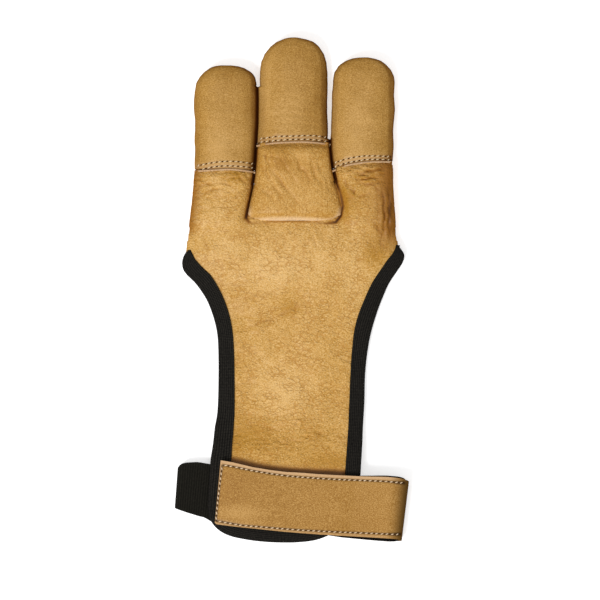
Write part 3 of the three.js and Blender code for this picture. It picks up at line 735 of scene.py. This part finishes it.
def stitchRow(name, line, ground, look, yarn):  # stitches along a line laid on ground
    model = stitchModel(name + "_one", look["pitch"] * look["share"], look["thick"], yarn)
    hole = stitchModel(name + "_hole", *look["hole"], holeShade)
    tree = treeOf(ground)
    draw = np.random.default_rng(look["seed"])
    copies = []

    def laid(source, at, direction, sink, turn):
        copy = source.copy()
        copy.data = source.data.copy()
        bpy.context.scene.collection.objects.link(copy)
        point, up = seenFromAbove(tree, *at)
        if point is None:
            bpy.data.objects.remove(copy)
            return
        forward = Vector((math.cos(turn + direction), math.sin(turn + direction), 0))
        forward = (forward - up * forward.dot(up)).normalized()
        side = up.cross(forward)
        local = spots(copy)
        base = np.array(point) / mm - np.array(up) * sink
        putSpots(copy, base + local[:, :1] * np.array(forward) + local[:, 1:2] * np.array(side)
                 + local[:, 2:] * np.array(up))
        copies.append(copy)

    path = smoothRow(line, 200)
    steps = np.linalg.norm(np.diff(path, axis=0), axis=1)
    before = np.concatenate([[0], np.cumsum(steps)])

    def pointAt(along):
        return [np.interp(along, before, path[:, axis]) for axis in (0, 1)]

    length = steps.sum()
    count = int(round(length / look["pitch"]))
    for k in range(count):
        at = (k + 0.5) * length / count + draw.uniform(-0.06, 0.06) * look["pitch"]  # a bit uneven
        (x, y), (ax, ay), (bx, by) = pointAt(at), pointAt(at + 0.5), pointAt(at - 0.5)
        direction = math.atan2(ay - by, ax - bx)
        laid(model, (x, y), direction, look["sink"], look["slant"] + draw.uniform(-0.08, 0.08))
        half = look["pitch"] / 2
        laid(hole, (x + math.cos(direction) * half, y + math.sin(direction) * half), direction,
             look["holeSink"], look["slant"])
    for source in (model, hole):
        bpy.data.objects.remove(source)
    bpy.ops.object.select_all(action="DESELECT")
    for copy in copies:
        copy.select_set(True)
    bpy.context.view_layer.objects.active = copies[0]
    bpy.ops.object.join()
    row = bpy.context.object
    row.name = row.data.name = name
    shadeSmooth(row, 60)
    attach(row, "root")


stallShape = {"voxel": 0.52, "passes": 4, "groove": 0.22, "rounding": 2.0}
# thread's share of the pitch, its thickness, the hole's length and width, depths, slant in radians
stallStitch = {"share": 0.62, "thick": 0.55, "hole": (1.3, 0.72), "sink": 0.0, "holeSink": 0.2,
               "slant": 0.38}
for finger, plan in stalls.items():
    stall = softCopy(finger + "_stall", finger + "_stall_leather", stallShape)
    where = meetCrevices(spots(stall), finger)
    x, y, z = where.T
    side = (x - plan["middle"]) / plan["half"]
    rimAt = np.interp(x, *np.array(plan["rim"]).T)
    top = ramp(z - 5.5, 4)
    groove = np.zeros(x.shape)
    for row in plan["rows"]:
        groove -= stallShape["groove"] * bell(nearLine(x, y, row)[0], 0.7)
    soft = (ripples(x, y, 15, plan["seed"]) * 0.14 + ripples(x, y, 5, plan["seed"] + 40) * 0.03
            + creases(x, y, plan["creases"]) * top)
    where += normalsOf(stall) * ((groove * top + soft) * ramp(z, 3))[:, None]
    where[:, 2] -= stallShape["rounding"] * np.abs(side) ** 4 * top  # rounder over its sides
    tip = ramp(y - y.max() + 11, 7)
    where[:, 0] += tip * (plan["tip"][1] * np.clip(side + 0.2, 0, 1)
                          + plan["tip"][0] * np.clip(0.2 - side, 0, 1))
    putSpots(stall, where)
    out = normalsOf(stall)
    # painted shade where the stall turns from facing up, strongest on its right side and towards
    # its tip
    turned = np.clip(1 - np.abs(out[:, 2]), 0, 1) * (1 + 0.6 * out[:, 0] + 0.4 * out[:, 1])
    # painted shadow just under the cut rim
    rimShadow = 0.4 * bell(y - rimAt - 0.2, 0.5)
    alongRows = bell(y - rimAt - 1.8, 1.4) * 0.35
    middle, rimY = plan["middle"], rimAt.mean()
    # painted shade in the stitch grooves and crevices; patches of painted light and shade, lighter
    # left of centre and on the left flank (darker there on the index stall), darker on the right
    # and at the tip
    paint(stall, 0.55 * turned - groove * top * 0.8 + paintedCreviceShade(x, y, plan["sides"]) + rimShadow,
          alongRows, blobs(x, y, [((middle + 10, rimY + 22), (7, 26), -0.1),
                                  ((middle - 13, rimY + 20), (3.5, 24), plan["leftFlankShading"]),
                                  ((middle - 4, rimY + 12), (7, 14), 0.22),
                                  ((middle, y.max() - 2), (14, 6), -0.1)]))
    finishPiece(stall, stallHide, "stall_leather", finger + "_stall")
    for k, row in enumerate(plan["rows"]):
        stitchRow(f"{finger}_stall_stitches_{k + 1}", row, stall,
                  {**stallStitch, "pitch": plan["pitch"], "seed": plan["seed"] + k}, creamThread)
print("stalls shaped and stitched")


# flat bands: a grid laid out row by row, then given its thickness
def bandPiece(name, rows, thickness, offset, rim=0):
    stations, across = rows.shape[:2]
    bpy.ops.object.select_all(action="DESELECT")
    bpy.ops.mesh.primitive_grid_add(x_subdivisions=across - 1, y_subdivisions=stations - 1, size=1)
    piece = bpy.context.object
    piece.name = piece.data.name = name
    putSpots(piece, rows.reshape(-1, 3))
    steps = np.linalg.norm(np.diff(rows[:, across // 2], axis=0), axis=1)
    length = np.concatenate([[0], np.cumsum(steps)])
    width = np.linalg.norm(np.diff(rows[stations // 2], axis=0), axis=1).sum()
    cloth = piece.data.uv_layers["UVMap"].data  # its own map in mm, along and across
    for corner in piece.data.loops:
        row, column = divmod(corner.vertex_index, across)
        cloth[corner.index].uv = (length[row], width * column / (across - 1))
    applyModifier(piece, "SOLIDIFY", thickness=thickness * mm, offset=offset, use_rim=True,
                  material_offset_rim=rim)
    return piece


# the stalls' cut edges: a thin pale line along each rim, at the height of the stall just above it
rimEdge = {"width": 0.5, "thickness": 0.35, "lift": 0.12, "drop": 0.5, "stations": 90,
           "above": 0.7, "climb": 0.6, "start": 9.0}
for finger, plan in stalls.items():
    stall = bpy.data.objects[finger + "_stall_leather"]
    tree = treeOf(stall)
    draw = np.random.default_rng(plan["seed"] + 9)
    rows, last = [], rimEdge["start"]
    for x, y in smoothRow(plan["rim"], rimEdge["stations"]):
        point = seenFromAbove(tree, x, y + rimEdge["above"])[0]
        last = last if point is None else min(point[2] / mm, last + rimEdge["climb"])
        width = rimEdge["width"] * draw.uniform(0.8, 1.2)
        rows.append([[x, y - width * share, last + rimEdge["lift"] - rimEdge["drop"] * share]
                     for share in (-0.4, 0.0, 0.4, 0.8)])
    edge = bandPiece(finger + "_stall_cut_edge", np.array(rows)[:, ::-1], rimEdge["thickness"],
                     -1.0)
    finishPiece(edge, rawEdge, "stall_leather", angle=60)

# binding round the panel's edge
binding = {
    "tape": 0.7, "leather": 1.2, "gap": 0.2, "stations": 520, "evened": 12, "over": 8, "round": 7,
    "lowest": 0.15,
    # outer x, y, then inner x, y, from the left corner down, round the wrist end and up
    "rows": [
        (-48.2, 18.9, -47.2, 18.9), (-50, 16.9, -46, 16.6), (-51.1, 13.6, -45, 14.6),
        (-50.7, 10.2, -43.3, 12.6), (-49.1, 7.7, -41.6, 10.8), (-47.2, 5.8, -39.9, 9.2),
        (-45.2, 3.8, -38, 7.4), (-42.5, 0.3, -35.5, 3.8), (-39.6, -4.4, -32.4, -2.1),
        (-36.7, -11.8, -29.4, -10.3), (-34.9, -19.2, -27.7, -18.4), (-34.3, -27, -27, -27),
        (-34.2, -41, -26.7, -41), (-34.7, -56.4, -26.7, -56), (-35.9, -64, -27.1, -64),
        (-36.7, -71.5, -27.7, -72), (-37.8, -79, -28.2, -80), (-38.3, -86.5, -29, -88),
        (-38.8, -94, -30.2, -96), (-38.9, -101, -31, -101),
        (-37.8, -106.7, -30, -104), (-34.5, -111, -27.8, -106),
        (-29.3, -113.9, -25, -107.6), (-21.5, -115.7, -19, -109.2),
        (-12.8, -116.8, -11.5, -110), (-4.4, -117.2, -4.2, -110.3), (4, -117, 2.8, -110),
        (11.5, -115.9, 9, -109), (18, -113.4, 14, -107.4), (24, -109.4, 18.6, -104.2),
        (28.2, -104, 21.6, -100.4), (30.5, -97.5, 23.4, -95.6), (31.8, -89, 24.6, -88),
        (32.5, -79, 25.3, -79), (33, -71, 25.9, -71), (33.3, -63.5, 26.4, -63.5),
        (34, -52, 26.9, -52), (34.3, -40, 27.4, -40), (35.3, -29.5, 28.1, -28.6),
        (37, -20, 29.2, -18.8), (39.8, -10.4, 31.4, -10.4), (42.4, -3.4, 34, -4),
        (45.4, 3.4, 37.4, 3.4), (49.2, 9.2, 41.4, 9.6), (51.8, 13.2, 44.6, 14.2),
        (52.6, 16.6, 47, 17.2), (51, 19.4, 48.4, 19.8), (49.4, 21.3, 49, 21.3),
    ],
}


def bindingRows(plan, ground):
    tree = treeOf(ground)
    half, gap = plan["tape"] / 2, plan["gap"]
    radius = plan["leather"] / 2 + gap + half
    lines = []
    last = 6.0
    for outX, outY, inX, inY in smoothRow(plan["rows"], plan["stations"]):
        outer, inner = np.array([outX, outY]), np.array([inX, inY])
        width = max(np.linalg.norm(inner - outer), 0.01)
        inward = (inner - outer) / width
        core = outer + inward * min(radius + half, width * 0.9)
        over = []
        for share in np.linspace(0, 1, plan["over"]):
            x, y = inner + (core - inner) * share
            point = seenFromAbove(tree, x, y)[0]
            last = last if point is None else point[2] / mm
            over.append([x, y, last])
        lines.append((over, inward, core))
    tops = np.array([[point[2] for point in over] for over, inward, core in lines])
    for _ in range(plan["evened"]):  # evens out the heights along the tape
        tops[1:-1] = (tops[:-2] + 2 * tops[1:-1] + tops[2:]) / 4
    rows = []
    for (over, inward, core), heights in zip(lines, tops):
        line = [[p[0], p[1], z + gap + half] for p, z in zip(over, heights)]
        middle = heights[-1] - plan["leather"] / 2
        for turn in np.linspace(0, math.pi, plan["round"])[1:-1]:
            reach = radius * math.sin(turn)
            line.append([core[0] - inward[0] * reach, core[1] - inward[1] * reach,
                         middle + radius * math.cos(turn)])
        for p, z in list(zip(over, heights))[::-1]:
            line.append([p[0], p[1], z - plan["leather"] - gap - half])
        rows.append(line)
    return np.array(rows)


edgeTape = bandPiece("edge_binding_tape", bindingRows(binding, backPanel), binding["tape"], 0.0)
where = spots(edgeTape)
where[:, 2] = np.maximum(where[:, 2], binding["lowest"])  # kept off the table
putSpots(edgeTape, where)
finishPiece(edgeTape, tapeCloth, "binding_tape", "edge_binding", angle=50)

opening = {"voxel": 0.4, "passes": 2}
openingTape = softCopy("opening_binding", "opening_binding_tape", opening)
finishPiece(openingTape, tapeCloth, "binding_tape", "opening_binding")
print("binding laid")

# wrist loop: strap, lining and elastic, in the loop's own turned frame of u along it and v across;
# "half" is from its centre to the fold, "back" is where the strap ends underneath
loop = {
    "centre": (-0.03, -98.51), "turn": math.radians(-5.4), "half": 53.2, "foldHeight": 12.7,
    "freeEnd": -34.9, "back": 8.0, "liningEnd": 22.6, "halfWidth": 14.1, "slant": 0.027,
    "strap": 1.4, "lining": 0.9, "gap": 0.3, "stations": (118, 30, 50),
    # tone patches; the lighter one at (42, -100) is painted sheen
    "tones": [((42, -100), (9, 20), 0.1), ((-20, -96), (22, 9), -0.05), ((-24, -103), (9, 4), 0.3)],
    "top": [(-32.6, -78.8), (-27.2, -79.7), (-17.9, -81.9), (-10, -83.2), (-2.6, -84.1),
            (5.3, -84.5), (12, -85.1), (20.7, -85.6), (32.3, -86.2), (43.9, -86.4), (49, -86.9),
            (52, -87.3), (53.5, -87.7), (54.6, -88.5)],
    "bottom": [(-36.1, -107.2), (-34.9, -108.4), (-23.8, -109.7), (-14.5, -110.6), (-5.2, -111.6),
               (4.1, -112.4), (13.4, -113.1), (22.7, -113.7), (36.7, -114.5), (50.7, -115.4)],
}
uAxis = np.array([math.cos(loop["turn"]), math.sin(loop["turn"])])
vAxis = np.array([-math.sin(loop["turn"]), math.cos(loop["turn"])])


def toLoop(points):  # x, y to u, v
    moved = np.array(points, float) - np.array(loop["centre"])
    return np.stack([moved @ uAxis, moved @ vAxis], 1)


def fromLoop(u, v):
    return np.array(loop["centre"]) + u * uAxis + v * vAxis


strapTopEdge = toLoop(loop["top"])
strapBottomEdge = toLoop(loop["bottom"])


def edgeAt(edge, u):
    return np.interp(u, edge[:, 0], edge[:, 1])


def heightAt(tree, u):  # of the CAD piece's outer face on the loop's middle line
    return seenFromAbove(tree, *fromLoop(u, 0))[0][2] / mm


strapTree = treeOf(nodes["wrist_strap"])


def strapStations():  # u, z and the way out of the outer face, round the whole strap
    radius = loop["foldHeight"] / 2
    centre = loop["half"] - radius
    over, bend, under = loop["stations"]
    result = [(u, heightAt(strapTree, u), 0.0, 1.0)
              for u in np.linspace(loop["freeEnd"] + 0.3, centre - 0.5, over)]
    for angle in np.linspace(math.pi / 2, -math.pi / 2, bend):
        result.append((centre + radius * math.cos(angle), radius + radius * math.sin(angle),
                       math.cos(angle), math.sin(angle)))
    result += [(u, 0.0, 0.0, -1.0) for u in np.linspace(centre - 1.0, loop["back"], under)]
    return result


# a grid round the strap, depth mm under its outer face; reach says how far it passes the edges
def strapRows(shares, depth, reach, endU=None):
    stations = strapStations()
    if endU is not None:
        stations += [(u, 0.0, 0.0, -1.0) for u in np.linspace(loop["back"] - 0.5, endU, 4)]
    rows, half = [], loop["halfWidth"]
    for u, z, outU, outZ in stations:
        shown = ramp(outZ + 1, 2)  # 1 on the shown ply, 0 on the one underneath
        high = edgeAt(strapTopEdge, u) * shown + half * (1 - shown) + reach(u, True)
        low = edgeAt(strapBottomEdge, u) * shown - half * (1 - shown) - reach(u, False)
        line = []
        for share in shares:
            v = low + (high - low) * share
            lean = loop["slant"] * v * ramp(u - 20, 30)  # the fold slants a little
            x, y = fromLoop(u - outU * depth + lean, v)
            line.append([x, y, z - outZ * depth])
        rows.append(line[::-1])
    return np.array(rows)


rowsOnStrap = {
    "strap_top_stitches": [(-31.6, -80.9), (-27.2, -81.6), (-17.9, -83.5), (-10, -84.8),
                           (-2.6, -85.8), (5.3, -86.5), (20.7, -87.5), (32.3, -88),
                           (43.9, -88.5), (52.2, -89.3)],
    "strap_bottom_stitches": [(-34.4, -106.9), (-23.8, -108.7), (-14.5, -109.5), (-5.2, -110.3),
                              (4.1, -111), (13.4, -111.5), (22.7, -112), (41.3, -112.8),
                              (50.4, -113.2)],
    "strap_end_stitches": [(-32.2, -81.4), (-33.2, -89), (-34.3, -98), (-35.1, -106.6)],
}
# shares of the width, closer together near the edges, where the stitch grooves are
nearEdges = np.array([0, 0.008, 0.02, 0.035, 0.05, 0.062, 0.075, 0.088, 0.1, 0.12, 0.15, 0.19])
strapShares = np.concatenate([nearEdges, np.linspace(0.23, 0.77, 16), 1 - nearEdges[::-1]])
strapGrid = strapRows(strapShares, 0.0, lambda u, high: 0.0)
strap = bandPiece("wrist_strap_leather", strapGrid, loop["strap"], -1.0, rim=1)
strap.data.materials.append(strapHide)
strap.data.materials.append(rawEdge)
where = spots(strap)
x, y, z = where.T
shown = z > 7  # the ply on top
groove = np.zeros(x.shape)
for line in rowsOnStrap.values():
    groove += bell(nearLine(x, y, line)[0], 0.6)
groove *= shown
toTop, toBottom = (nearLine(x, y, loop[side])[0] for side in ("top", "bottom"))
toEnd = nearLine(x, y, [loop["top"][0], loop["bottom"][0]])[0]
# pale raw edges, the lower edge kept weaker as painted shade
rimPale = ramp(1.8 - toTop, 1.0) + 0.35 * ramp(1.8 - toBottom, 1.0)
rimPale = np.maximum(rimPale, 0.7 * ramp(1.0 - toEnd, 0.5)) * shown
# painted shade, darkening the strap towards its fold
foldShade = ramp(x - (53.0 + (y + 100) * 0.1) + 11, 11) ** 1.8
where[:, 2] -= 0.25 * groove + 0.25 * bell(np.minimum(toTop, toBottom), 0.8) * shown
putSpots(strap, where)
# painted shade in the stitch grooves and at the fold
paint(strap, 0.55 * groove + 0.62 * foldShade, 0.7 * rimPale * np.clip(1 - 1.5 * foldShade, 0, 1),
      blobs(x, y, loop["tones"]))
shadeSmooth(strap, 50)
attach(strap, "root")
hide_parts("wrist_strap")


def liningReach(u, high):  # how far the lining passes the strap's upper or lower edge
    if high:
        return np.interp(u, [-40, 22, 31, 40, 50, 60], [-0.6, -0.5, 0.25, 0.5, 0.65, 0.65])
    return np.interp(u, [-40, 10, 25, 40, 60], [-0.6, -0.5, 0.4, 0.4, 0.0])


liningGrid = strapRows(np.linspace(0, 1, 20), loop["strap"] + loop["gap"], liningReach,
                       loop["liningEnd"])
lining = bandPiece("strap_lining_cloth", liningGrid, loop["lining"], -1.0)
finishPiece(lining, liningCloth, "strap_lining", "strap_lining", angle=50)

# the elastic: from the strap's far end over the table, round at the left and under the panel;
# its edges are given as v at u
band = {
    "thickness": 1.3, "fold": -53.9, "lap": 22.0, "tuck": -25.0, "across": 26, "slant": 0.02,
    "top": [(-54, 10.6), (-53.2, 11.9), (-52.2, 12.7), (-50.5, 13.4), (-45.4, 14.2),
            (-40.2, 13.8), (-34, 13.4), (22, 13.5)],
    "bottom": [(-54, -8), (-48.4, -9.4), (-42.7, -10.6), (-39.8, -11), (-36.8, -12.4),
               (-34, -13.2), (22, -13.5)],
}


def elasticStations():  # u and z, on under the strap's end, down to the table, round and back
    tree = treeOf(nodes["wrist_elastic"])
    radius = heightAt(tree, -42) / 2
    turnAt = band["fold"] + radius
    onStrap = loop["strap"] + loop["gap"]
    result = [(u, onStrap) for u in np.linspace(band["lap"], loop["back"] - 1, 14)]
    result += [(u, onStrap * (1 - share) ** 2 * (1 + 2 * share))
               for share, u in zip(np.linspace(0.1, 1, 8),
                                   np.linspace(loop["back"] - 1.7, 0.8, 8))]
    result += [(u, 0.0) for u in np.linspace(0, turnAt + 1, 48)]
    result += [(turnAt + radius * math.cos(angle), radius + radius * math.sin(angle))
               for angle in np.linspace(-math.pi / 2, -math.pi * 1.5, 22)]
    return result + [(u, heightAt(tree, u)) for u in np.linspace(turnAt + 1, band["tuck"], 24)]


elasticGrid = []
for u, z in elasticStations():
    high, low = (np.interp(u, *np.array(band[side]).T) for side in ("top", "bottom"))
    line = []
    for share in np.linspace(0, 1, band["across"]):
        v = low + (high - low) * share
        lean = (0.35 + band["slant"] * v) * ramp(-44 - u, 8)  # the fold slants a little
        line.append([*fromLoop(u - lean, v), z])
    elasticGrid.append(line)
elastic = bandPiece("wrist_elastic_band", np.array(elasticGrid)[:, ::-1], band["thickness"], -1.0)
finishPiece(elastic, elasticCloth, "elastic", "wrist_elastic", angle=50)

# stitch rows round the strap
strapStitch = {"pitch": 2.4, "share": 0.62, "thick": 0.55, "hole": (1.15, 0.6), "sink": 0.04,
               "holeSink": 0.14, "slant": 0.4}
for number, (name, line) in enumerate(rowsOnStrap.items()):
    stitchRow(name, line, strap, {**strapStitch, "seed": 60 + number}, pinkThread)
print("wrist loop made")

# surface and light
studio = {
    "table": 4, "white": (0.93, 0.93, 0.93, 1), "glow": 0.5, "world": 0.4,
    # place, size and power
    "lights": {"key": ((-0.6, -0.75, 1.4), 0.5, 19), "overhead": ((0.1, 0.2, 1.9), 1.2, 7)},
}
bpy.ops.object.select_all(action="DESELECT")
bpy.ops.mesh.primitive_plane_add(size=studio["table"], location=(0, 0, -0.0001))
floor = bpy.context.object
floor.name = "table"
floorRecipe = Recipe("plain white surface", 0.9, Emission_Strength=studio["glow"],
                     Emission_Color=(1, 1, 1, 1), Specular_IOR_Level=0.1)
floor.data.materials.append(floorRecipe.finish(studio["white"]))

world = bpy.data.worlds.new("studio")
bpy.context.scene.world = world
world.use_nodes = True
background = world.node_tree.nodes["Background"]
background.inputs["Color"].default_value = (1, 1, 1, 1)
background.inputs["Strength"].default_value = studio["world"]
bpy.context.scene.view_settings.view_transform = "Standard"

for name, (place, size, power) in studio["lights"].items():
    light = bpy.data.objects.new(name, bpy.data.lights.new(name, "AREA"))
    light.data.shape = "SQUARE"
    light.data.size = size
    light.data.energy = power
    light.location = place
    light.rotation_euler = (-Vector(place)).to_track_quat("-Z", "Y").to_euler()
    bpy.context.scene.collection.objects.link(light)
